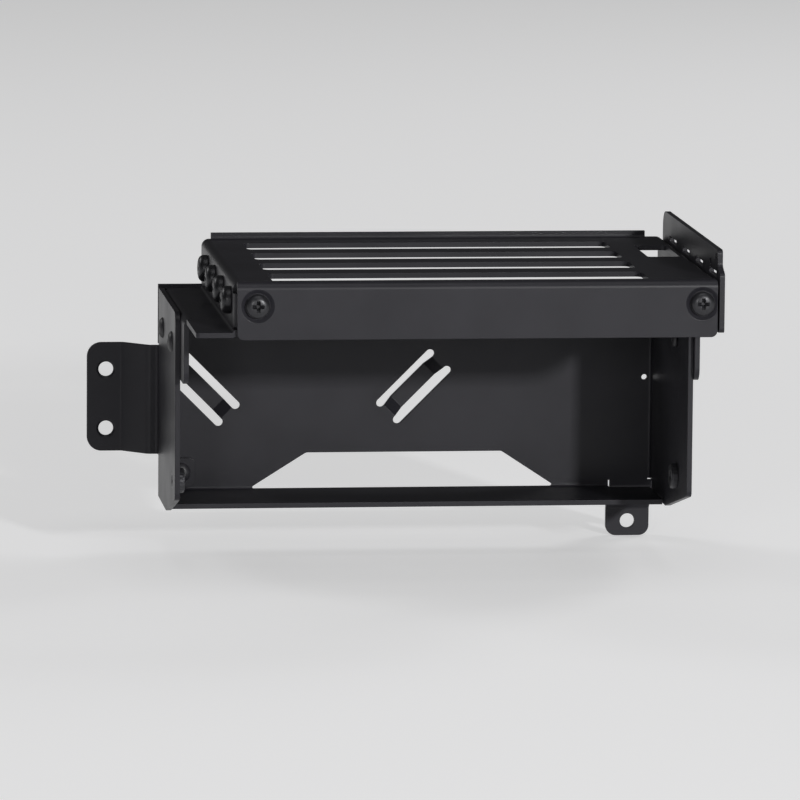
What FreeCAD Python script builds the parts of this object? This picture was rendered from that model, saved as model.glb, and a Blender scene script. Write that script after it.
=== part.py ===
import FreeCAD, Part
import math
import os

# GPU support bracket. u runs right along the bracket from the outer face of the left wall,
# d runs from the front face of the back panel towards the viewer, w runs up from the underside
# of the bottom flange. The finished row has its origin between the two ear holes, on the ear's back.
SHEET = 1.2
BEND_IN = 0.6
BEND_OUT = BEND_IN + SHEET

# standard expansion card spacing and slot bracket
CARD_PITCH = 20.32
CARD_COUNT = 4
CARD_SHOULDER = 112.75
CARD_TAB_THICK = 0.86
CARD_END_GAP = 0.31

# back panel, walls and bottom flange
PANEL_TOP = 51.2
WALL_TOP = 50.6
RIGHT_INSIDE = 120.2
RIGHT_OUTSIDE = RIGHT_INSIDE + SHEET
FLANGE_DEEP = 23.0
LEFT_DEEP = 50.0
LEFT_CUT_RISE = 6.3
CUT_START = 25.0
RIGHT_DEEP = 58.0
RIGHT_CUT_RISE = 7.2
WALL_CORNER = 3.0
PLATE_GAP = 0.1
CORNER_RELIEF = 0.4
WALL_START = 1.8
PAN_END = RIGHT_OUTSIDE - 4.0

# ear and lower tab, both set back to the plane the bracket is screwed to
SET_BACK = 6.0
EAR_LOW = 10.0
EAR_HIGH = 36.4
EAR_END = -16.7
EAR_STEP = -2.5
EAR_CORNER = 3.5
EAR_HOLE_U = -12.1
EAR_HOLE_MID = 22.7
EAR_HOLE_PITCH = 14.4
FIX_HOLE = 3.6
FIX_SINK = 4.6
FIX_SINK_DEEP = 0.4
TAB_WIDE = 10.6
TAB_RIGHT = RIGHT_OUTSIDE - 0.5
TAB_LEFT = TAB_RIGHT - TAB_WIDE
TAB_BEND = 0.8
TAB_BOTTOM = -12.0
TAB_CORNER = 2.5
TAB_HOLE_W = -8.4
TAB_ROOT = 2.6
TAB_NOTCH = 3.0
TAB_SIDE_GAP = 0.4
TAB_FRONT_GAP = 2.3

# cable opening in the back panel
CUT_LOW_LEFT = 22.0
CUT_LOW_RIGHT = 97.0
CUT_HIGH_LEFT = 36.0
CUT_HIGH_RIGHT = 83.6
CUT_HIGH = 10.0

# tie bridges: a strap pushed back between two slits
TIE_SLIT_LONG = 19.0
TIE_SLIT_WIDE = 2.1
TIE_SPACING = 5.8
TIE_STRAP = TIE_SPACING - TIE_SLIT_WIDE
TIE_BACK = 2.3
TIE_SLOPE_START = 8.2
TIE_SLOPE_END = 5.6
TIE_RIGHT = (62.1, 25.9)
TIE_LEFT = (10.8, 25.6)

# shelf
SHELF_TOP = 62.2
SHELF_UNDER = SHELF_TOP - SHEET
SHELF_LEFT = SHEET
SHELF_RIGHT = RIGHT_OUTSIDE + SHEET
LEDGE = SHELF_RIGHT - CARD_SHOULDER - CARD_END_GAP + CARD_TAB_THICK
SHELF_FRONT = 84.4
HANG_LOW = 34.8
HANG_BACK = 2.0
HANG_OVER_PANEL = PANEL_TOP + 0.8
HANG_PAST_PANEL = PANEL_TOP - 1.2
HANG_FRONT = 60.0
HANG_RIVET_RISE = 7.7
HANG_CORNER = 3.0
LIP_HIGH = 1.5
LIP_LEFT = LEDGE + 2.2
LIP_RIGHT = RIGHT_INSIDE - 2.2
FIRST_CARD = 16.4
OPENING_WIDE = 12.6
OPENING_LEFT = LEDGE + 9.0
OPENING_CORNER = 1.5
WINDOW_RIGHT = RIGHT_OUTSIDE - 1.0
WINDOW_LONG = 7.7
WINDOW_LEFT = WINDOW_RIGHT - WINDOW_LONG
WINDOW_BACK = 18.7
WINDOW_FRONT = 42.0
WINDOW_CORNER = 1.0
OPENING_RIGHT = WINDOW_LEFT - 6.0
TAB_DROP = 2.8
TAB_TOP = SHELF_TOP - TAB_DROP
FOLD_ROOT = 2.2

# front bar
BAR_LEFT = LEDGE + 0.7
BAR_RIGHT = SHELF_RIGHT - 0.4
BAR_TALL = 13.3
BAR_LOW = SHELF_TOP - BAR_TALL
BAR_LAP = 0.4
BAR_JOINT = 0.2
BAR_TOP_WIDE = 3.4
BAR_FRONT = SHELF_FRONT + BAR_JOINT + BAR_TOP_WIDE
BAR_BACK = BAR_FRONT - SHEET
BAR_CORNER = 1.5
BAR_HOLE_DROP = 5.5
BAR_HOLE_W = SHELF_TOP - BAR_HOLE_DROP
BAR_HOLE_LEFT = BAR_LEFT + 4.7
BAR_HOLE_RIGHT = BAR_RIGHT - 3.5
BAR_HOLES = (BAR_HOLE_LEFT, BAR_HOLE_RIGHT)
STEP_UNDER = BAR_LOW + BAR_LAP
STEP_TOP = STEP_UNDER + SHEET
STEP_LEFT = SHELF_LEFT + 0.5
LEFT_TAB_END = BAR_HOLE_LEFT + 4.2
RIGHT_TAB_START = BAR_HOLE_RIGHT - 5.3
BAR_DIMPLE = 7.8
BAR_DIMPLE_DEEP = 0.5

# end plate
END_LEFT = SHELF_RIGHT
END_RIGHT = END_LEFT + SHEET
END_LOW = BAR_LOW + 0.9
END_HIGH = SHELF_TOP + 6.5
END_CORNER = 4.0
END_STEP_D = BAR_FRONT - 3.5
END_STEP_W = SHELF_TOP + 1.2
END_STEP_RISE = 1.6
END_HOLES = ((BAR_FRONT - 6.0, SHELF_TOP + 4.8), (BAR_FRONT - 14.0, SHELF_TOP + 2.6))
END_HOLE = 1.8
TONGUE_WIDE = 10.8
TONGUE_TALL = 1.4

# fasteners
M3 = 2.9
M3_CLEAR = 3.4
HEAD_WIDE = 5.6
HEAD_HIGH = 2.0
HEAD_ROUND = 1.1
CROSS_WIDE = 0.9
CROSS_SIZE = 3.0
CROSS_DEEP = 1.2
TAP_WIDE = 4.2
TAP_LONG = 1.4
TAP_BORE = 3.0
BAR_SCREW_LONG = 6.0
CARD_SCREW = 3.4
CARD_HOLE = 3.6
CARD_HEAD_WIDE = 6.4
CARD_HEAD_HIGH = 2.3
CARD_HEAD_ROUND = 1.2
CARD_CROSS_SIZE = 3.6
CARD_CROSS_DEEP = 1.3
CARD_TIP = 1.1
CARD_TIP_LONG = 1.0
CARD_SCREW_LONG = 8.0
CARD_SCREW_W = SHELF_TOP - 5.2
COLLAR_WIDE = 5.4
COLLAR_HIGH = 1.4
RIVET = 3.0
RIVET_HOLE = 3.1
RIVET_HEAD = 5.0
RIVET_HEAD_HIGH = 1.0
RIVET_HEAD_SLOPE = 0.7
RIVET_TAIL = 4.2
RIVET_TAIL_HIGH = 1.2
RIVET_TAIL_SLOPE = 0.5
GUSSET_RIVET_U = 5.4
GUSSET_FLANGE_END = 9.0
LOW_FLANGE = (2.0, 9.0)
HIGH_FLANGE = (38.4, 48.6)
SHELF_RIVET_D = (14.0, 40.0)
SHELF_RIVET_W = HANG_LOW + HANG_RIVET_RISE
END_RIVET_W = SHELF_TOP - 6.4
NUT_INSET = 8.0
NUT_D = LEFT_DEEP - NUT_INSET
NUT_W = 9.8
SIDE_NUT_WIDE = 6.0
SIDE_NUT_HIGH = 1.6
SIDE_NUT_NECK = 4.2
SIDE_NUT_BORE = 2.6
CORNER_HOLE_U = RIGHT_INSIDE - 1.7
CORNER_HOLE_W = 27.8
CORNER_HOLE = 1.4

END_RIVET_D = (FIRST_CARD + 0.5 * CARD_PITCH, FIRST_CARD + 2.5 * CARD_PITCH)
CARD_D = [FIRST_CARD + CARD_PITCH * i for i in range(CARD_COUNT)]
ORIGIN = FreeCAD.Vector(EAR_HOLE_U, SET_BACK + SHEET, EAR_HOLE_MID)

PLANES = {
    "ud": lambda a, b, c: FreeCAD.Vector(a, -b, c),
    "uw": lambda a, b, c: FreeCAD.Vector(a, -c, b),
    "dw": lambda a, b, c: FreeCAD.Vector(c, -a, b),
}


def outline(points):
    """Closed list of straight and rounded edges from (a, b, radius) corners."""
    count = len(points)
    starts = []
    for i in range(count):
        a = FreeCAD.Vector(points[i][0], points[i][1], 0)
        before = FreeCAD.Vector(points[i - 1][0], points[i - 1][1], 0) - a
        after = FreeCAD.Vector(points[(i + 1) % count][0], points[(i + 1) % count][1], 0) - a
        radius = points[i][2]
        if radius <= 0:
            starts.append((a, None, a))
            continue
        before.normalize()
        after.normalize()
        half = before.getAngle(after) / 2.0
        back = radius / math.tan(half)
        middle = before + after
        middle.normalize()
        centre = a + middle * (radius / math.sin(half))
        starts.append((a + before * back, centre - middle * radius, a + after * back))
    return starts


def prism(points, plane, start, stop):
    """Solid with the given rounded outline in a plane, run along the third direction."""
    place = PLANES[plane]
    corners = outline(points)
    edges = []
    for i in range(len(corners)):
        first, mid, last = [place(p.x, p.y, start) if p else None for p in corners[i]]
        if mid:
            edges.append(Part.Arc(first, mid, last).toShape())
        after = corners[(i + 1) % len(corners)][0]
        after = place(after.x, after.y, start)
        if (after - last).Length > 1e-6:
            edges.append(Part.makeLine(last, after))
    face = Part.Face(Part.Wire(edges))
    return face.extrude(place(0, 0, stop) - place(0, 0, start))


def folded(path, plane, start, stop, thick=SHEET):
    """Sheet folded along an open path; the path is one face, the sheet lies on its left side."""
    count = len(path)
    steps = []
    for i in range(count - 1):
        step = FreeCAD.Vector(path[i + 1][0] - path[i][0], path[i + 1][1] - path[i][1], 0)
        step.normalize()
        steps.append(step)
    near = []
    far = []
    for i in range(count):
        a = steps[max(i - 1, 0)]
        b = steps[min(i, count - 2)]
        left_a = FreeCAD.Vector(-a.y, a.x, 0)
        left_b = FreeCAD.Vector(-b.y, b.x, 0)
        shift = (left_a + left_b) * (thick / (1.0 + left_a.dot(left_b)))
        turn = a.x * b.y - a.y * b.x
        inner = BEND_IN if abs(turn) > 1e-6 else 0
        outer = BEND_IN + thick if abs(turn) > 1e-6 else 0
        near.append((path[i][0], path[i][1], outer if turn > 0 else inner))
        far.append((path[i][0] + shift.x, path[i][1] + shift.y, inner if turn > 0 else outer))
    return prism(near + far[::-1], plane, start, stop)


def block(u0, u1, d0, d1, w0, w1):
    return Part.makeBox(u1 - u0, d1 - d0, w1 - w0, FreeCAD.Vector(u0, -d1, w0))


def rod(at, along, radius, length):
    """Round bar from a (u, d, w) point along the u, d or w direction."""
    way = {"u": (1, 0, 0), "d": (0, -1, 0), "w": (0, 0, 1)}[along]
    return Part.makeCylinder(radius, length, FreeCAD.Vector(at[0], -at[1], at[2]), FreeCAD.Vector(*way))


def cone(at, along, radius0, radius1, length):
    way = {"u": (1, 0, 0), "d": (0, -1, 0), "-u": (-1, 0, 0)}[along]
    base = FreeCAD.Vector(at[0], -at[1], at[2])
    return Part.makeCone(radius0, radius1, length, base, FreeCAD.Vector(*way))


def slot(centre, length, width, angle, d0, d1):
    """Round-ended slot through a sheet parallel to the panel."""
    half = length / 2.0 - width / 2.0
    shape = block(-half, half, d0, d1, -width / 2.0, width / 2.0)
    for side in (-half, half):
        shape = shape.fuse(rod((side, d0, 0), "d", width / 2.0, d1 - d0))
    shape.rotate(FreeCAD.Vector(0, 0, 0), FreeCAD.Vector(0, -1, 0), angle)
    shape.translate(FreeCAD.Vector(centre[0], 0, centre[1]))
    return shape


def clean(shape):
    shape = shape.removeSplitter()
    if len(shape.Solids) == 1:
        return shape.Solids[0]
    return shape


def fix_hole(at):
    """Screw hole through a sheet set back behind the panel."""
    return rod((at[0], -SET_BACK - 2 * SHEET, at[1]), "d", FIX_HOLE / 2.0, 3 * SHEET)


def sunk_hole(at):
    """Screw hole with a shallow countersink on its front."""
    start = (at[0], -SET_BACK - FIX_SINK_DEEP, at[1])
    return fix_hole(at).fuse(cone(start, "d", FIX_HOLE / 2.0, FIX_SINK / 2.0, FIX_SINK_DEEP))


def tie_cut(centre, angle):
    """The two slits of a tie bridge and the window of the strap between them."""
    shapes = []
    half = TIE_SPACING / 2.0
    for side in (-half, half):
        turn = math.radians(angle)
        at = (centre[0] - side * math.sin(turn), centre[1] + side * math.cos(turn))
        shapes.append(slot(at, TIE_SLIT_LONG, TIE_SLIT_WIDE, angle, -2 * SHEET, SHEET))
    window = block(-TIE_SLOPE_START, TIE_SLOPE_START, -2 * SHEET, SHEET, -half, half)
    window.rotate(FreeCAD.Vector(0, 0, 0), FreeCAD.Vector(0, -1, 0), angle)
    window.translate(FreeCAD.Vector(centre[0], 0, centre[1]))
    return shapes[0].fuse(shapes[1]).fuse(window)


def tie_strap(centre, angle):
    """The strap of a tie bridge, pushed back in its middle."""
    path = [(TIE_SLOPE_START + 0.4, 0), (TIE_SLOPE_START, 0), (TIE_SLOPE_END, -TIE_BACK),
            (-TIE_SLOPE_END, -TIE_BACK), (-TIE_SLOPE_START, 0), (-TIE_SLOPE_START - 0.4, 0)]
    near = [(a, b, 0) for a, b in path]
    far = [(a, b - SHEET, 0) for a, b in path]
    strap = prism(near + far[::-1], "ud", -TIE_STRAP / 2.0, TIE_STRAP / 2.0)
    strap.rotate(FreeCAD.Vector(0, 0, 0), FreeCAD.Vector(0, -1, 0), angle)
    strap.translate(FreeCAD.Vector(centre[0], 0, centre[1]))
    return strap


def right_wall():
    """Right end of the panel with the wall folded forward from it."""
    path = [(PAN_END, -SHEET), (RIGHT_OUTSIDE, -SHEET), (RIGHT_OUTSIDE, RIGHT_DEEP)]
    fold = folded(path, "ud", 0, PANEL_TOP)
    keep = prism([(-2 * SHEET, 0, 0), (CUT_START, 0, 2.0), (RIGHT_DEEP, RIGHT_CUT_RISE, 1.5),
                  (RIGHT_DEEP, WALL_TOP, WALL_CORNER), (4.0, WALL_TOP, 0), (3.0, PANEL_TOP, 0),
                  (-2 * SHEET, PANEL_TOP, 0)], "dw", PAN_END - 1, RIGHT_OUTSIDE + 1)
    wall = fold.common(keep)
    flat_end = RIGHT_INSIDE - BEND_IN
    wall = wall.cut(block(PAN_END - 1, flat_end, -2 * SHEET, 3.0, -2, TAB_ROOT))
    wall = wall.cut(block(flat_end, RIGHT_OUTSIDE + 1, -2 * SHEET, 3.0, -2, TAB_NOTCH))
    wall = wall.cut(rod((RIGHT_INSIDE - SHEET, NUT_D, NUT_W), "u", SIDE_NUT_NECK / 2.0, 3 * SHEET))
    for d in SHELF_RIVET_D:
        wall = wall.cut(rod((RIGHT_INSIDE - SHEET, d, SHELF_RIVET_W), "u", RIVET_HOLE / 2.0, 3 * SHEET))
    return wall


def lower_tab():
    """Screw tab that runs down from the panel and steps back to the mounting plane."""
    path = [(-SET_BACK, TAB_BOTTOM), (-SET_BACK, TAB_BEND - SET_BACK), (0, TAB_BEND), (0, TAB_ROOT + 0.6)]
    tab = folded(path, "dw", TAB_LEFT, TAB_RIGHT)
    flat_end = RIGHT_INSIDE - BEND_IN
    tab = tab.cut(block(flat_end, TAB_RIGHT + 1, -2 * SHEET, 1, TAB_ROOT, TAB_ROOT + 2))
    trim = prism([(TAB_LEFT, TAB_BOTTOM, TAB_CORNER), (TAB_RIGHT, TAB_BOTTOM, TAB_CORNER),
                  (TAB_RIGHT, 6, 0), (TAB_LEFT, 6, 0)], "uw", -SET_BACK - 2 * SHEET, SHEET)
    tab = tab.common(trim)
    return tab.cut(fix_hole(((TAB_LEFT + TAB_RIGHT) / 2.0, TAB_HOLE_W)))


def base_pan():
    left = SHEET + PLATE_GAP
    pan = folded([(-SHEET, PANEL_TOP), (-SHEET, 0), (FLANGE_DEEP, 0)], "dw", 0, PAN_END)
    pan = pan.fuse(block(PAN_END - 0.5, RIGHT_INSIDE - CORNER_RELIEF, BEND_OUT, FLANGE_DEEP, 0, SHEET))
    pan = pan.cut(block(-1, left, -2 * SHEET, FLANGE_DEEP + 1, -1, EAR_HIGH + 0.5))
    pan = pan.cut(block(TAB_LEFT - TAB_SIDE_GAP, RIGHT_OUTSIDE, -2 * SHEET, TAB_FRONT_GAP, -1, TAB_ROOT))
    pan = pan.fuse(right_wall()).fuse(lower_tab())
    cut = prism([(CUT_LOW_LEFT, SHEET, 0.4), (CUT_LOW_RIGHT, SHEET, 0.4), (CUT_HIGH_RIGHT, CUT_HIGH, 1.5),
                 (CUT_HIGH_LEFT, CUT_HIGH, 1.5)], "uw", -2 * SHEET, BEND_IN)
    pan = pan.cut(cut)
    pan = pan.cut(rod((CORNER_HOLE_U, -2 * SHEET, CORNER_HOLE_W), "d", CORNER_HOLE / 2.0, 3 * SHEET))
    for low, high in (LOW_FLANGE, HIGH_FLANGE):
        at = (GUSSET_RIVET_U, -2 * SHEET, (low + high) / 2.0)
        pan = pan.cut(rod(at, "d", RIVET_HOLE / 2.0, 3 * SHEET))
    for centre, angle in ((TIE_RIGHT, 45), (TIE_LEFT, -45)):
        pan = pan.cut(tie_cut(centre, angle)).fuse(tie_strap(centre, angle))
    return clean(pan)


def ear():
    """Ear that turns out from the back edge of the left wall and steps back."""
    step = EAR_STEP + SHEET * math.tan(math.pi / 8.0)
    path = [(EAR_END, -SET_BACK - SHEET), (step - SET_BACK, -SET_BACK - SHEET), (step, -SHEET),
            (SHEET, -SHEET), (SHEET, 6)]
    body = folded(path, "ud", EAR_LOW, EAR_HIGH)
    trim = prism([(EAR_END, EAR_LOW, EAR_CORNER), (6, EAR_LOW, 0), (6, EAR_HIGH, 0),
                  (EAR_END, EAR_HIGH, EAR_CORNER)], "uw", -SET_BACK - 2 * SHEET, 8)
    body = body.common(trim)
    for side in (-0.5, 0.5):
        body = body.cut(sunk_hole((EAR_HOLE_U, EAR_HOLE_MID + side * EAR_HOLE_PITCH)))
    return body


def rivet_flange(low, high):
    """Flange turned in from the back edge of the left wall, lying on the panel."""
    flange = folded([(0, WALL_START + 0.5), (0, 0), (GUSSET_FLANGE_END, 0)], "ud", low, high)
    shape = prism([(-1, low, 0), (GUSSET_FLANGE_END, low, 1.5), (GUSSET_FLANGE_END, high, 1.5),
                   (-1, high, 0)], "uw", -SHEET, 6)
    hole = rod((GUSSET_RIVET_U, -SHEET, (low + high) / 2.0), "d", RIVET_HOLE / 2.0, 3 * SHEET)
    return flange.common(shape).cut(hole)


def left_gusset():
    wall = prism([(WALL_START, 0, 0), (CUT_START, 0, 2.0), (LEFT_DEEP, LEFT_CUT_RISE, 2.0),
                  (LEFT_DEEP, WALL_TOP, WALL_CORNER), (WALL_START, WALL_TOP, 0)], "dw", 0, SHEET)
    wall = wall.fuse(ear()).fuse(rivet_flange(*LOW_FLANGE)).fuse(rivet_flange(*HIGH_FLANGE))
    wall = wall.cut(rod((-SHEET, NUT_D, NUT_W), "u", SIDE_NUT_NECK / 2.0, 3 * SHEET))
    for d in SHELF_RIVET_D:
        wall = wall.cut(rod((-SHEET, d, SHELF_RIVET_W), "u", RIVET_HOLE / 2.0, 3 * SHEET))
    return clean(wall)


def shelf_body():
    """Shelf top with the step down on its left and its two hanging flanges."""
    path = [(SHELF_RIGHT, HANG_LOW), (SHELF_RIGHT, SHELF_TOP), (LEDGE, SHELF_TOP), (LEDGE, STEP_TOP),
            (SHELF_LEFT, STEP_TOP), (SHELF_LEFT, HANG_LOW)]
    fold = folded(path, "uw", 0, BAR_BACK)
    sides = prism([(0, SHELF_TOP + 1, 0), (0, HANG_OVER_PANEL, 0), (HANG_BACK, HANG_PAST_PANEL, 0),
                   (HANG_BACK, HANG_LOW, HANG_CORNER), (HANG_FRONT, HANG_LOW, HANG_CORNER),
                   (HANG_FRONT, STEP_UNDER, 1.0), (BAR_BACK, STEP_UNDER, 0),
                   (BAR_BACK, SHELF_TOP + 1, 0)], "dw", -1, SHELF_RIGHT + 1)
    shelf = fold.common(sides)
    right = SHELF_RIGHT + 1
    end = BAR_FRONT + 1
    root = BEND_OUT + FOLD_ROOT
    over_step = STEP_TOP + BEND_IN
    under_top = SHELF_UNDER - BEND_IN
    shelf = shelf.cut(block(LEDGE - 1, right, SHELF_FRONT, end, over_step, SHELF_TOP + 1))
    shelf = shelf.cut(block(RIGHT_INSIDE, right, BAR_BACK - root, end, STEP_UNDER - 1, under_top))
    shelf = shelf.cut(block(LEDGE - SHEET, LEDGE + BEND_OUT, BAR_BACK - root, end, over_step, under_top))
    shelf = shelf.cut(block(0, SHELF_LEFT + BEND_OUT, HANG_FRONT, end, STEP_UNDER - 1, STEP_TOP + 1))
    return shelf.cut(block(LIP_LEFT, LIP_RIGHT, -1, root, SHELF_UNDER - 1, SHELF_TOP + 1))


def shelf_folds():
    """Back lip, flat front end of the step and the two tabs behind the bar."""
    root = BEND_OUT + FOLD_ROOT
    lip_path = [(0, SHELF_TOP + LIP_HIGH), (0, SHELF_UNDER), (root, SHELF_UNDER)]
    lip = folded(lip_path, "dw", LIP_LEFT, LIP_RIGHT)
    inner = SHELF_LEFT + BEND_OUT
    back = HANG_FRONT + SHEET
    step = prism([(STEP_LEFT, back, 0), (inner, back, 0), (inner, BAR_BACK, 0), (STEP_LEFT, BAR_BACK, 1.0)],
                 "ud", STEP_UNDER, STEP_TOP)
    left_path = [(LEFT_TAB_END, BAR_BACK), (LEDGE, BAR_BACK), (LEDGE, BAR_BACK - root)]
    left_tab = folded(left_path, "ud", STEP_TOP + SHEET, TAB_TOP)
    right_path = [(SHELF_RIGHT, BAR_BACK - root), (SHELF_RIGHT, BAR_BACK), (RIGHT_TAB_START, BAR_BACK)]
    right_tab = folded(right_path, "ud", STEP_TOP, TAB_TOP)
    return [lip, step, left_tab, right_tab]


def tapped(shape, at, along, outer, length, bore):
    """Hole with a tapped collar drawn out of the sheet."""
    shift = {"u": (SHEET, 0, 0), "-d": (0, -SHEET - length, 0)}[along]
    way = along[-1]
    collar = rod([a + b for a, b in zip(at, shift)], way, outer / 2.0, length)
    back = {"u": (-1, 0, 0), "-d": (0, -SHEET - length - 1, 0)}[along]
    hole = rod([a + b for a, b in zip(at, back)], way, bore / 2.0, length + SHEET + 3)
    return shape.fuse(collar).cut(hole)


def top_opening(u0, u1, d0, d1, corner):
    """Rounded opening through the shelf top."""
    points = [(u0, d0, corner), (u1, d0, corner), (u1, d1, corner), (u0, d1, corner)]
    return prism(points, "ud", SHELF_UNDER - 1, SHELF_TOP + 1)


def card_shelf():
    shelf = shelf_body()
    for fold in shelf_folds():
        shelf = shelf.fuse(fold)
    half = OPENING_WIDE / 2.0
    for d in CARD_D:
        front = d + half if d < CARD_D[-1] else SHELF_FRONT + OPENING_CORNER * 2
        shelf = shelf.cut(top_opening(OPENING_LEFT, OPENING_RIGHT, d - half, front, OPENING_CORNER))
        shelf = tapped(shelf, (LEDGE, d, CARD_SCREW_W), "u", COLLAR_WIDE, COLLAR_HIGH, CARD_HOLE)
    shelf = shelf.cut(top_opening(WINDOW_LEFT, WINDOW_RIGHT, WINDOW_BACK, WINDOW_FRONT, WINDOW_CORNER))
    for u in BAR_HOLES:
        shelf = tapped(shelf, (u, BAR_BACK, BAR_HOLE_W), "-d", TAP_WIDE, TAP_LONG, TAP_BORE)
    for d in SHELF_RIVET_D:
        shelf = shelf.cut(rod((0, d, SHELF_RIVET_W), "u", RIVET_HOLE / 2.0, 3 * SHEET))
        shelf = shelf.cut(rod((RIGHT_INSIDE, d, SHELF_RIVET_W), "u", RIVET_HOLE / 2.0, 3 * SHEET))
    for d in END_RIVET_D:
        shelf = shelf.cut(rod((RIGHT_INSIDE, d, END_RIVET_W), "u", RIVET_HOLE / 2.0, 3 * SHEET))
    return clean(shelf)


def end_plate():
    plate = prism([(0, END_LOW, 1.0), (BAR_FRONT, END_LOW, 1.0), (BAR_FRONT, END_STEP_W, 1.0),
                   (END_STEP_D, END_STEP_W + END_STEP_RISE, 1.0), (END_STEP_D, END_HIGH, 1.0),
                   (0, END_HIGH, END_CORNER)], "dw", END_LEFT, END_RIGHT)
    for d in END_RIVET_D:
        plate = plate.cut(rod((END_LEFT - SHEET, d, END_RIVET_W), "u", RIVET_HOLE / 2.0, 3 * SHEET))
    for d, w in END_HOLES:
        plate = plate.cut(rod((END_LEFT - SHEET, d, w), "u", END_HOLE / 2.0, 3 * SHEET))
    half = TONGUE_WIDE / 2.0
    top = SHELF_TOP + TONGUE_TALL
    for d in CARD_D:
        plate = plate.cut(block(END_LEFT - SHEET, END_RIGHT + SHEET, d - half, d + half, SHELF_TOP, top))
    return clean(plate)


def front_bar():
    path = [(SHELF_FRONT + BAR_JOINT, SHELF_TOP), (BAR_FRONT, SHELF_TOP), (BAR_FRONT, BAR_LOW)]
    bar = folded(path[::-1], "dw", BAR_LEFT, BAR_RIGHT)
    trim = prism([(BAR_LEFT, BAR_LOW, BAR_CORNER), (BAR_RIGHT, BAR_LOW, BAR_CORNER),
                  (BAR_RIGHT, SHELF_TOP, 0.6), (BAR_LEFT, SHELF_TOP, 0.6)], "uw", SHELF_FRONT, BAR_FRONT + 1)
    bar = bar.common(trim)
    for u in BAR_HOLES:
        bar = bar.cut(rod((u, BAR_BACK - SHEET, BAR_HOLE_W), "d", M3_CLEAR / 2.0, 3 * SHEET))
        at = (u, BAR_FRONT - BAR_DIMPLE_DEEP, BAR_HOLE_W)
        bar = bar.cut(cone(at, "d", HEAD_WIDE / 2.0 + 0.2, BAR_DIMPLE / 2.0, BAR_DIMPLE_DEEP + 0.01))
    return clean(bar)


def cross_cut(at, along, size, depth):
    """Cross recess cut into a screw head from its outer face."""
    u, d, w = at
    half = size / 2.0
    thin = CROSS_WIDE / 2.0
    if along == "d":
        return block(u - half, u + half, d - depth, d + 1, w - thin, w + thin).fuse(
            block(u - thin, u + thin, d - depth, d + 1, w - half, w + half))
    return block(u - 1, u + depth, d - half, d + half, w - thin, w + thin).fuse(
        block(u - 1, u + depth, d - thin, d + thin, w - half, w + half))


def bar_screw(u):
    seat = BAR_FRONT - BAR_DIMPLE_DEEP
    head = rod((u, seat, BAR_HOLE_W), "d", HEAD_WIDE / 2.0, HEAD_HIGH)
    top = [e for e in head.Edges if len(e.Vertexes) == 1 and abs(e.CenterOfMass.y + seat + HEAD_HIGH) < 1e-6]
    head = head.makeFillet(HEAD_ROUND, top)
    shank = rod((u, seat - BAR_SCREW_LONG, BAR_HOLE_W), "d", M3 / 2.0, BAR_SCREW_LONG)
    cross = cross_cut((u, seat + HEAD_HIGH, BAR_HOLE_W), "d", CROSS_SIZE, CROSS_DEEP)
    return clean(head.fuse(shank).cut(cross))


def card_screw(d):
    out = LEDGE - CARD_HEAD_HIGH
    head = rod((out, d, CARD_SCREW_W), "u", CARD_HEAD_WIDE / 2.0, CARD_HEAD_HIGH)
    top = [e for e in head.Edges if len(e.Vertexes) == 1 and abs(e.CenterOfMass.x - out) < 1e-6]
    head = head.makeFillet(CARD_HEAD_ROUND, top)
    straight = CARD_SCREW_LONG - CARD_TIP_LONG
    shank = rod((LEDGE, d, CARD_SCREW_W), "u", CARD_SCREW / 2.0, straight)
    tip = cone((LEDGE + straight, d, CARD_SCREW_W), "u", CARD_SCREW / 2.0, CARD_TIP, CARD_TIP_LONG)
    cross = cross_cut((out, d, CARD_SCREW_W), "u", CARD_CROSS_SIZE, CARD_CROSS_DEEP)
    return clean(head.fuse(shank).fuse(tip).cut(cross))


def rivet(at, along, grip):
    """Rivet with its domed head at a point and its closed tail beyond the grip."""
    head = {"u": (1, 0, 0), "-u": (-1, 0, 0), "-d": (0, 1, 0)}[along]
    way = FreeCAD.Vector(*head)
    base = FreeCAD.Vector(at[0], -at[1], at[2])
    top = RIVET_HEAD / 2.0 - RIVET_HEAD_SLOPE
    dome = Part.makeCone(top, RIVET_HEAD / 2.0, RIVET_HEAD_HIGH, base - way * RIVET_HEAD_HIGH, way)
    shank = Part.makeCylinder(RIVET / 2.0, grip, base, way)
    end = RIVET_TAIL / 2.0 - RIVET_TAIL_SLOPE
    tail = Part.makeCone(RIVET_TAIL / 2.0, end, RIVET_TAIL_HIGH, base + way * grip, way)
    return clean(dome.fuse(shank).fuse(tail))


def side_nut(face, inward):
    """Press nut: a neck in the wall and a round body on its inner side."""
    neck = rod((face, NUT_D, NUT_W), "u", SIDE_NUT_NECK / 2.0, SHEET)
    start = face + SHEET if inward > 0 else face - SIDE_NUT_HIGH
    body = rod((start, NUT_D, NUT_W), "u", SIDE_NUT_WIDE / 2.0, SIDE_NUT_HIGH)
    bore = rod((start - 3, NUT_D, NUT_W), "u", SIDE_NUT_BORE / 2.0, 8)
    return clean(neck.fuse(body).cut(bore))


def rivets():
    grip = 2 * SHEET
    names = {}
    for name, (low, high) in (("base_rivet_low", LOW_FLANGE), ("base_rivet_high", HIGH_FLANGE)):
        names[name] = rivet((GUSSET_RIVET_U, SHEET, (low + high) / 2.0), "-d", grip)
    for name, d in zip(("back", "front"), SHELF_RIVET_D):
        names["shelf_rivet_left_" + name] = rivet((0, d, SHELF_RIVET_W), "u", grip)
        names["shelf_rivet_right_" + name] = rivet((SHELF_RIGHT, d, SHELF_RIVET_W), "-u", grip)
    for name, d in zip(("back", "front"), END_RIVET_D):
        names["end_rivet_" + name] = rivet((END_RIGHT, d, END_RIVET_W), "-u", grip)
    return names


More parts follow.
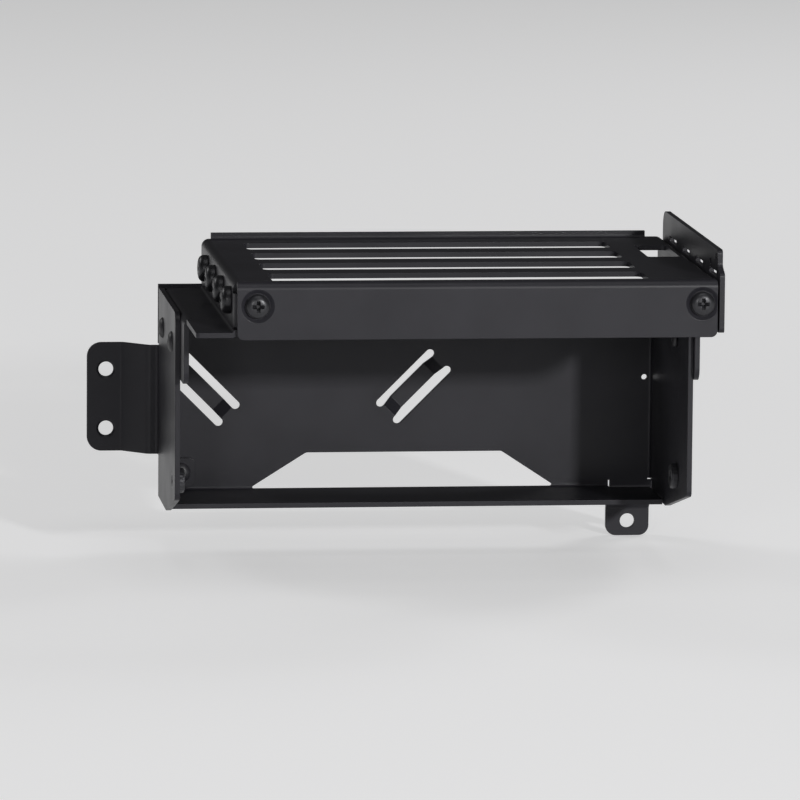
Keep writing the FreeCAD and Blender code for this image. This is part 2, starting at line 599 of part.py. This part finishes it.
def build():
    parts = {
        "base_pan": base_pan(),
        "left_gusset": left_gusset(),
        "card_shelf": card_shelf(),
        "end_plate": end_plate(),
        "front_bar": front_bar(),
        "bar_screw_left": bar_screw(BAR_HOLES[0]),
        "bar_screw_right": bar_screw(BAR_HOLES[1]),
        "side_nut_left": side_nut(0, 1),
        "side_nut_right": side_nut(RIGHT_INSIDE, -1),
    }
    for i, d in enumerate(CARD_D):
        parts["card_screw_%d" % (i + 1)] = card_screw(d)
    parts.update(rivets())
    return parts


os.makedirs("parts", exist_ok=True)
for name, shape in build().items():
    shape.translate(ORIGIN * -1)
    shape.exportStep("parts/" + name + ".step")
    box = shape.BoundBox
    print(name, shape.isValid(), len(shape.Solids), round(shape.Volume, 1),
          [round(v, 2) for v in (box.XMin, box.XMax, box.YMin, box.YMax, box.ZMin, box.ZMax)])
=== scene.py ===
import bpy
import bmesh
import math
from mathutils import Matrix, Vector

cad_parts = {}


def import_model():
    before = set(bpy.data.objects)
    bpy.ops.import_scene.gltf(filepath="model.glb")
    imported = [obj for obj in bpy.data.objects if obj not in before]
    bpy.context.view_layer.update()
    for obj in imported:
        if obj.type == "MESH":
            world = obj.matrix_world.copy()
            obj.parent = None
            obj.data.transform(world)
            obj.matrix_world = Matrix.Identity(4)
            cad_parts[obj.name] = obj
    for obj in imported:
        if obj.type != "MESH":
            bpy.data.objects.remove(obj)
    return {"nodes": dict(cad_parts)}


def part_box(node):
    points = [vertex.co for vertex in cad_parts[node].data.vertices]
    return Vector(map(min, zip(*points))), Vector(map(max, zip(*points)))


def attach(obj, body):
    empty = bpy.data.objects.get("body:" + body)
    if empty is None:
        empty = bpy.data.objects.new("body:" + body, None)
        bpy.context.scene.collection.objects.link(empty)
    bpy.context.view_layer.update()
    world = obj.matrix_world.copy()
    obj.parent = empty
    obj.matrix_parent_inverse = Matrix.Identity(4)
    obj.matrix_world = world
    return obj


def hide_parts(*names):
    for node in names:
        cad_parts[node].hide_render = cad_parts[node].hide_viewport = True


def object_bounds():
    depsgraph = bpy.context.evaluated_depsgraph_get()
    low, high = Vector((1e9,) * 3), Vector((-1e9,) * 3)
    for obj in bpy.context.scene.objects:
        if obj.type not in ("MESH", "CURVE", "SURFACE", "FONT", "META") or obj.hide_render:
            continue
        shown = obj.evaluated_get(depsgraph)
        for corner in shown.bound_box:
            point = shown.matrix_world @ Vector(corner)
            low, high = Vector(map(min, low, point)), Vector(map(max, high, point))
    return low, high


# GPU support bracket: black powder coated sheet steel, in metres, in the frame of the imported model.
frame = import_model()
cad_low, cad_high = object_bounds()
nodes = frame["nodes"]

MM = 0.001
CENTRE = (cad_low + cad_high) / 2.0

# coated sheet: colour, roughness, shine, the darkest and lightest share of the colour, and the sizes and
# heights of its cloudiness, grain and orange peel
COAT = (0.0265, 0.0258, 0.0315)
COAT_ROUGH = 0.38
COAT_SHINE = 0.28
COAT_SHADES = (0.90, 1.12)
CLOUD_SIZE = 14 * MM
GRAIN_SIZE = 0.22 * MM
GRAIN_HIGH = 0.008 * MM
PEEL_SIZE = 1.6 * MM
PEEL_HIGH = 0.02 * MM
EDGE_ROUND = 0.18 * MM

# fasteners: colours, their darkest and lightest share, and the size and height of the tool marks
SCREW_STEEL = (0.032, 0.032, 0.036)
NUT_STEEL = (0.060, 0.060, 0.066)
RIVET_PAINT = (0.030, 0.029, 0.034)
METAL_SHADES = (0.8, 1.3)
MARK_SIZE = 0.9 * MM
MARK_HIGH = 0.01 * MM
FASTENER_EDGE_ROUND = 0.08 * MM

# the part of a noise's range that is stretched over a whole effect
NOISE_LOW, NOISE_HIGH = 0.3, 0.7
BEVEL_SAMPLES = 6

# floor and world
FLOOR_PAINT = (0.66, 0.66, 0.67)
FLOOR_ROUGH = 0.8
FLOOR_GLOW = 0.44
FLOOR_HALF = 30.0
FLOOR_GAP = 0.01 * MM
WORLD_LEVEL = 0.03

# lamps: name, direction in which the lamp stands, width in metres and power in watts
LAMP_AWAY = 1.8
LAMPS = (
    ("key", (0.355, -1.0, 0.25), 0.08, 14.5),
    ("fill", (-0.32, -1.0, 0.20), 0.2, 3.4),
    ("top", (0.05, -0.40, 1.0), 1.0, 4.0),
    ("back_left", (-0.95, 0.75, 0.65), 0.6, 4.5),
    ("back_right", (0.90, 0.85, 0.65), 0.6, 5.5),
)

# camera
CAMERA_AT = (-0.1252, -1.7072, 0.2360)
CAMERA_ROLL = math.radians(0.45)
CAMERA_NEAR = 0.05
LENS = 321.0

# screws in mm, as wide and long as the frame's solids: head radius and height, thread radius, pitch and
# length, how much the tip tapers, and half the length of the cross recess
BAR_SCREW = {"head": 2.8, "high": 2.0, "shank": 1.45, "pitch": 0.5,
             "long": 6.0, "tip": 0.35, "recess": 1.55}
CARD_SCREW = {"head": 3.2, "high": 2.3, "shank": 1.70, "pitch": 0.79,
              "long": 8.0, "tip": 0.60, "recess": 1.85}
THREAD_DEEP = 0.28
TIP_LONG = 1.0
CARD_COUNT = 4

# cross recess in mm: half its length and half an arm's width at the floor, half an arm's width at the top,
# the depth, and how far the cutter stands over the head
RECESS_FLOOR_LONG = 0.35
RECESS_FLOOR_WIDE = 0.20
RECESS_TOP_WIDE = 0.46
RECESS_DEEP = 1.25
RECESS_OVER = 0.12

# press nut in mm: neck in the wall, knurled body behind it and a threaded bore
NUT = {"neck": 2.1, "neck_long": 1.2, "body": 3.0, "long": 2.8,
       "crest": 1.26, "root": 1.46, "pitch": 0.5}
NUT_RIM = NUT["root"] + 0.2
KNURL_DEEP = 0.11

# rivet in mm: height of the head and thickness of the two sheets that it holds
RIVET_HEAD = 1.0
RIVET_GRIP = 2.4

# steps round a turned form, rows of a thread for each pitch, and the angle from which an edge stays crisp
RIVET_STEPS = 36
HEAD_STEPS = 48
THREAD_STEPS = 24
NUT_STEPS = 48
ROWS_PER_PITCH = 4
CRISP = math.radians(38)


def material(name):
    """New node material with its tree, its shader and its object coordinates."""
    made = bpy.data.materials.new(name)
    made.use_nodes = True
    tree = made.node_tree
    shader = tree.nodes["Principled BSDF"]
    place = tree.nodes.new("ShaderNodeTexCoord").outputs["Object"]
    return made, tree, shader, place


def noise(tree, place, size, detail=2.0, rough=0.5):
    """Noise whose blotches are about one size across, in metres."""
    node = tree.nodes.new("ShaderNodeTexNoise")
    node.inputs["Scale"].default_value = 1.0 / size
    node.inputs["Detail"].default_value = detail
    node.inputs["Roughness"].default_value = rough
    tree.links.new(place, node.inputs["Vector"])
    return node.outputs["Fac"]


def spread(tree, value, low, high, new_low, new_high):
    """The value's range from low to high, stretched to a new range."""
    node = tree.nodes.new("ShaderNodeMapRange")
    node.inputs["From Min"].default_value = low
    node.inputs["From Max"].default_value = high
    node.inputs["To Min"].default_value = new_low
    node.inputs["To Max"].default_value = new_high
    tree.links.new(value, node.inputs["Value"])
    return node.outputs["Result"]


def mixed(tree, factor, first, second):
    """Colour between two colours, by a factor."""
    node = tree.nodes.new("ShaderNodeMix")
    node.data_type = "RGBA"
    node.inputs["A"].default_value = (*first, 1.0)
    node.inputs["B"].default_value = (*second, 1.0)
    tree.links.new(factor, node.inputs["Factor"])
    return node.outputs["Result"]


def shaded(tree, factor, colour, shades):
    """Colour that runs from its darkest to its lightest share, by a factor."""
    dark, light = (tuple(share * c for c in colour) for share in shades)
    return mixed(tree, factor, dark, light)


def bumped(tree, height, depth, normal, strength):
    """Surface normal moved by a height, in metres."""
    node = tree.nodes.new("ShaderNodeBump")
    node.inputs["Distance"].default_value = depth
    node.inputs["Strength"].default_value = strength
    tree.links.new(height, node.inputs["Height"])
    tree.links.new(normal, node.inputs["Normal"])
    return node.outputs["Normal"]


def rounded(tree, radius):
    """Normal that turns softly over sharp edges."""
    node = tree.nodes.new("ShaderNodeBevel")
    node.samples = BEVEL_SAMPLES
    node.inputs["Radius"].default_value = radius
    return node.outputs["Normal"]


def powder_coat(name, colour, rough):
    """Satin powder coat: fine grain, a faint orange peel and a little cloudiness."""
    made, tree, shader, place = material(name)
    cloud = noise(tree, place, CLOUD_SIZE, detail=3.0)
    grain = noise(tree, place, GRAIN_SIZE, detail=3.0, rough=0.6)
    peel = noise(tree, place, PEEL_SIZE, detail=1.0)
    tint = shaded(tree, spread(tree, cloud, NOISE_LOW, NOISE_HIGH, 0.0, 1.0), colour, COAT_SHADES)
    sheen = spread(tree, cloud, NOISE_LOW, NOISE_HIGH, rough - 0.03, rough + 0.04)
    normal = bumped(tree, peel, PEEL_HIGH, rounded(tree, EDGE_ROUND), strength=0.35)
    normal = bumped(tree, grain, GRAIN_HIGH, normal, strength=0.5)
    shader.inputs["Specular IOR Level"].default_value = COAT_SHINE
    tree.links.new(tint, shader.inputs["Base Color"])
    tree.links.new(sheen, shader.inputs["Roughness"])
    tree.links.new(normal, shader.inputs["Normal"])
    return made


def black_metal(name, colour, rough, metallic):
    """Blackened steel of the fasteners, with faint tool marks."""
    made, tree, shader, place = material(name)
    marks = noise(tree, place, MARK_SIZE)
    tint = shaded(tree, marks, colour, METAL_SHADES)
    sheen = spread(tree, marks, NOISE_LOW, NOISE_HIGH, rough - 0.05, rough + 0.07)
    normal = bumped(tree, marks, MARK_HIGH, rounded(tree, FASTENER_EDGE_ROUND), strength=0.3)
    shader.inputs["Metallic"].default_value = metallic
    tree.links.new(tint, shader.inputs["Base Color"])
    tree.links.new(sheen, shader.inputs["Roughness"])
    tree.links.new(normal, shader.inputs["Normal"])
    return made


def seat_of(name, way, head):
    """Point on a fastener's axis, one head's height (mm) inside its end that faces a direction."""
    low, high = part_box(name)
    seat = (low + high) / 2.0
    for axis in range(3):
        if way[axis] < 0:
            seat[axis] = low[axis] + head * MM
        elif way[axis] > 0:
            seat[axis] = high[axis] - head * MM
    return seat


def placed(name, mesh, at, way, finish, node):
    """Piece of the part whose own +Z points along a direction; it stands for a CAD node."""
    made = bpy.data.objects.new(name, mesh)
    bpy.context.scene.collection.objects.link(made)
    turn = Vector((0, 0, 1)).rotation_difference(Vector(way)).to_matrix().to_4x4()
    made.matrix_world = Matrix.Translation(at) @ turn
    mesh.materials.append(finish)
    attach(made, "root")
    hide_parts(node)


def ring(work, height, radii):
    """Row of vertices round Z at a height, one for each radius; all in mm."""
    row = []
    for i, radius in enumerate(radii):
        turn = 2 * math.pi * i / len(radii)
        x = radius * MM * math.cos(turn)
        y = radius * MM * math.sin(turn)
        row.append(work.verts.new((x, y, height * MM)))
    return row


def bridge(work, rows):
    """Faces between each row of vertices and the next."""
    steps = len(rows[0])
    for low, high in zip(rows, rows[1:]):
        for i in range(steps):
            j = (i + 1) % steps
            work.faces.new((low[i], low[j], high[j], high[i]))


def thread_radii(low, high, height, pitch, steps):
    """Radii round a thread at a height, which run between a low and a high one once a turn."""
    bites = [abs(2 * ((height / pitch + i / steps) % 1.0) - 1.0) for i in range(steps)]
    return [low + (high - low) * bite for bite in bites]


def mesh_of(work, mesh_name):
    """Mesh of the work so far, with its faces turned outwards."""
    bmesh.ops.recalc_face_normals(work, faces=work.faces)
    mesh = bpy.data.meshes.new(mesh_name)
    work.to_mesh(mesh)
    work.free()
    return mesh


def shaped(work, mesh_name):
    """Mesh of the work so far, with smooth faces and crisp corners."""
    mesh = mesh_of(work, mesh_name)
    for face in mesh.polygons:
        face.use_smooth = True
    mesh.set_sharp_from_angle(angle=CRISP)
    return mesh


def turned(mesh_name, profile, steps):
    """Closed surface of revolution about Z from (radius, height) points in mm; the ends lie on the axis."""
    work = bmesh.new()
    first = work.verts.new((0, 0, profile[0][1] * MM))
    last = work.verts.new((0, 0, profile[-1][1] * MM))
    rows = [ring(work, height, [radius] * steps) for radius, height in profile[1:-1]]
    for i in range(steps):
        j = (i + 1) % steps
        work.faces.new((first, rows[0][j], rows[0][i]))
        work.faces.new((last, rows[-1][i], rows[-1][j]))
    bridge(work, rows)
    return shaped(work, mesh_name)


def recess(size):
    """Tapered cross recess, used to cut a screw head; its top lies a little over height 0."""
    work = bmesh.new()
    corners = ((-1, -1), (1, -1), (1, 1), (-1, 1))
    for turn in (0.0, math.pi / 2):
        spin = Matrix.Rotation(turn, 4, "Z")
        rows = []
        for long, wide, height in ((RECESS_FLOOR_LONG, RECESS_FLOOR_WIDE, -RECESS_DEEP),
                                   (size, RECESS_TOP_WIDE, RECESS_OVER)):
            points = [Vector((x * long * MM, y * wide * MM, height * MM)) for x, y in corners]
            rows.append([work.verts.new(spin @ point) for point in points])
        bottom, top = rows
        work.faces.new(bottom[::-1])
        work.faces.new(top)
        bridge(work, rows)
    return mesh_of(work, "recess")


def screw_head(name, kind):
    """Pan head with its cross recess cut in; its seat is at height 0."""
    r, h = kind["head"], kind["high"]
    profile = [(0, 0), (r - 0.12, 0), (r, 0.12), (r, 0.42 * h), (r - 0.12, 0.62 * h),
               (r - 0.42, 0.80 * h), (r - 0.95, 0.93 * h), (r - 1.6, 0.99 * h), (0.4, h), (0, h)]
    head = bpy.data.objects.new(name, turned(name, profile, HEAD_STEPS))
    tool = bpy.data.objects.new(name + "_tool", recess(kind["recess"]))
    for made in (head, tool):
        bpy.context.scene.collection.objects.link(made)
    tool.location.z = h * MM
    cut = head.modifiers.new("recess", "BOOLEAN")
    cut.object = tool
    cut.operation = "DIFFERENCE"
    cut.solver = "EXACT"
    cut.use_self = True
    bpy.context.view_layer.update()
    depsgraph = bpy.context.evaluated_depsgraph_get()
    result = bpy.data.meshes.new_from_object(head.evaluated_get(depsgraph))
    for made in (head, tool):
        mesh = made.data
        bpy.data.objects.remove(made)
        bpy.data.meshes.remove(mesh)
    return result


def thread(work, kind):
    """Threaded shank that runs down from height 0 and ends in a short taper."""
    crest, pitch, long = kind["shank"], kind["pitch"], kind["long"]
    root = crest - THREAD_DEEP
    rows = [ring(work, 0.0, [crest] * THREAD_STEPS)]
    count = int(long / pitch * ROWS_PER_PITCH)
    for k in range(1, count + 1):
        height = -long * k / count
        taper = max(0.0, (-height - (long - TIP_LONG)) / TIP_LONG)
        limit = crest - taper * kind["tip"]
        radii = thread_radii(root, crest, height, pitch, THREAD_STEPS)
        rows.append(ring(work, height, [min(radius, limit) for radius in radii]))
    bridge(work, rows)
    work.faces.new(rows[0])
    work.faces.new(rows[-1][::-1])


def screw(node, kind, way):
    """Pan head screw in one mesh: the head rises from its seat and the threaded shank runs down from it."""
    name = node + "_threaded"
    head = screw_head(name + "_head", kind)
    work = bmesh.new()
    work.from_mesh(head)
    bpy.data.meshes.remove(head)
    thread(work, kind)
    seat = seat_of(node, way, kind["high"])
    placed(name, shaped(work, name), seat, way, screw_steel, node)


def screws():
    """The bar's two screws face the viewer; the cards' four face left."""
    for side in ("left", "right"):
        screw("bar_screw_" + side, BAR_SCREW, (0, -1, 0))
    for i in range(CARD_COUNT):
        screw("card_screw_%d" % (i + 1), CARD_SCREW, (-1, 0, 0))


def nut_mesh(name):
    """Press nut whose neck starts at height 0; its body is knurled and its bore threaded."""
    neck, body, long, wall = NUT["neck"], NUT["body"], NUT["long"], NUT["neck_long"]
    crest, root, pitch = NUT["crest"], NUT["root"], NUT["pitch"]
    outside = [(NUT_RIM, 0.0, 0), (neck - 0.1, 0.0, 0), (neck, 0.1, 0), (neck, wall, 0),
               (body - 0.15, wall, 0), (body, wall + 0.12, 1), (body, long - 0.45, 1),
               (body - 0.12, long - 0.40, 0), (body - 0.12, long - 0.12, 0), (body - 0.30, long, 0),
               (NUT_RIM, long, 0)]
    work = bmesh.new()
    rows = []
    for radius, height, knurled in outside:
        radii = [radius - KNURL_DEEP * knurled * (i % 2) for i in range(NUT_STEPS)]
        rows.append(ring(work, height, radii))
    count = int(long / pitch * ROWS_PER_PITCH)
    for k in range(count, -1, -1):
        height = long * k / count
        inner = root if k in (0, count) else crest
        rows.append(ring(work, height, thread_radii(inner, root, height, pitch, NUT_STEPS)))
    bridge(work, rows + rows[:1])
    return shaped(work, name)


def nuts():
    """Each press nut stands in a wall, with its neck's end flush outside and its body inside."""
    for node, way in (("side_nut_left", 1), ("side_nut_right", -1)):
        name = node + "_knurled"
        at = seat_of(node, (-way, 0, 0), 0.0)
        placed(name, nut_mesh(name), at, (way, 0, 0), nut_steel, node)


def rivet_mesh(name, grip):
    """Rivet with a domed, dimpled head and a pulled tail; the head's seat is at height 0."""
    profile = [(0, 0.52), (0.42, 0.54), (0.62, 0.60), (0.74, 0.92), (0.95, 0.99), (1.35, 0.93),
               (1.80, 0.76), (2.20, 0.48), (2.42, 0.22), (2.48, 0.06), (2.42, 0.0), (1.5, 0.0),
               (1.5, -grip), (1.9, -grip), (2.08, -grip - 0.25), (2.06, -grip - 0.75),
               (1.85, -grip - 1.05), (1.3, -grip - 1.18), (0.8, -grip - 1.10), (0.7, -grip - 0.95),
               (0, -grip - 0.92)]
    return turned(name, profile, RIVET_STEPS)


def rivets():
    """The base's rivets face the viewer; the others face left or right, out of the part."""
    for node in nodes:
        if "rivet" not in node:
            continue
        if node.startswith("base"):
            way = (0, -1, 0)
        elif "left" in node:
            way = (-1, 0, 0)
        else:
            way = (1, 0, 0)
        name = node + "_domed"
        seat = seat_of(node, way, RIVET_HEAD)
        placed(name, rivet_mesh(name, RIVET_GRIP), seat, way, rivet_paint, node)


def dress_solids():
    """Finish of each CAD solid; a solid that a piece replaces gets its finish too."""
    for name, node in nodes.items():
        finish = coat
        if "screw" in name:
            finish = screw_steel
        elif "nut" in name:
            finish = nut_steel
        elif "rivet" in name:
            finish = rivet_paint
        node.data.materials.clear()
        node.data.materials.append(finish)


def floor():
    """Plain pale floor under the part; its glow shows to the camera and in reflections."""
    mesh = bpy.data.meshes.new("floor")
    half = FLOOR_HALF
    corners = [(-half, -half, 0), (half, -half, 0), (half, half, 0), (-half, half, 0)]
    mesh.from_pydata(corners, [], [(0, 1, 2, 3)])
    made = bpy.data.objects.new("floor", mesh)
    bpy.context.scene.collection.objects.link(made)
    made.location.z = cad_low.z - FLOOR_GAP
    paint, tree, shader, _ = material("floor_paint")
    shader.inputs["Base Color"].default_value = (*FLOOR_PAINT, 1.0)
    shader.inputs["Roughness"].default_value = FLOOR_ROUGH
    shader.inputs["Emission Color"].default_value = (1.0, 1.0, 1.0, 1.0)
    path = tree.nodes.new("ShaderNodeLightPath")
    seen = tree.nodes.new("ShaderNodeMath")
    seen.operation = "MAXIMUM"
    tree.links.new(path.outputs["Is Camera Ray"], seen.inputs[0])
    tree.links.new(path.outputs["Is Glossy Ray"], seen.inputs[1])
    glow = spread(tree, seen.outputs["Value"], 0.0, 1.0, 0.0, FLOOR_GLOW)
    tree.links.new(glow, shader.inputs["Emission Strength"])
    mesh.materials.append(paint)


def aim(made):
    """Turn a lamp or the camera towards the middle of the part."""
    made.rotation_euler = (CENTRE - made.location).to_track_quat("-Z", "Y").to_euler()


def lamps():
    """Square soft lamps, all equally far from the part."""
    for name, direction, size, power in LAMPS:
        data = bpy.data.lights.new(name, "AREA")
        data.size = size
        data.energy = power
        made = bpy.data.objects.new(name, data)
        bpy.context.scene.collection.objects.link(made)
        made.location = CENTRE + Vector(direction).normalized() * LAMP_AWAY
        aim(made)


def world():
    """Faint even light from all round."""
    made = bpy.data.worlds.new("studio")
    made.use_nodes = True
    sky = made.node_tree.nodes["Background"]
    sky.inputs["Color"].default_value = (1.0, 1.0, 1.0, 1.0)
    sky.inputs["Strength"].default_value = WORLD_LEVEL
    bpy.context.scene.world = made


def camera():
    """Long lens from the photo's direction, with the photo's slight roll."""
    data = bpy.data.cameras.new("camera")
    data.lens = LENS
    data.clip_start = CAMERA_NEAR
    made = bpy.data.objects.new("camera", data)
    bpy.context.scene.collection.objects.link(made)
    made.location = CAMERA_AT
    aim(made)
    made.rotation_euler.rotate_axis("Z", CAMERA_ROLL)
    bpy.context.scene.camera = made


coat = powder_coat("black_powder_coat", COAT, COAT_ROUGH)
screw_steel = black_metal("black_screw_steel", SCREW_STEEL, rough=0.34, metallic=0.3)
nut_steel = black_metal("black_nut_steel", NUT_STEEL, rough=0.36, metallic=0.5)
rivet_paint = black_metal("black_rivet", RIVET_PAINT, rough=0.42, metallic=0.0)

dress_solids()
screws()
nuts()
rivets()
floor()
lamps()
world()
camera()

bpy.context.scene.view_settings.view_transform = "Standard"
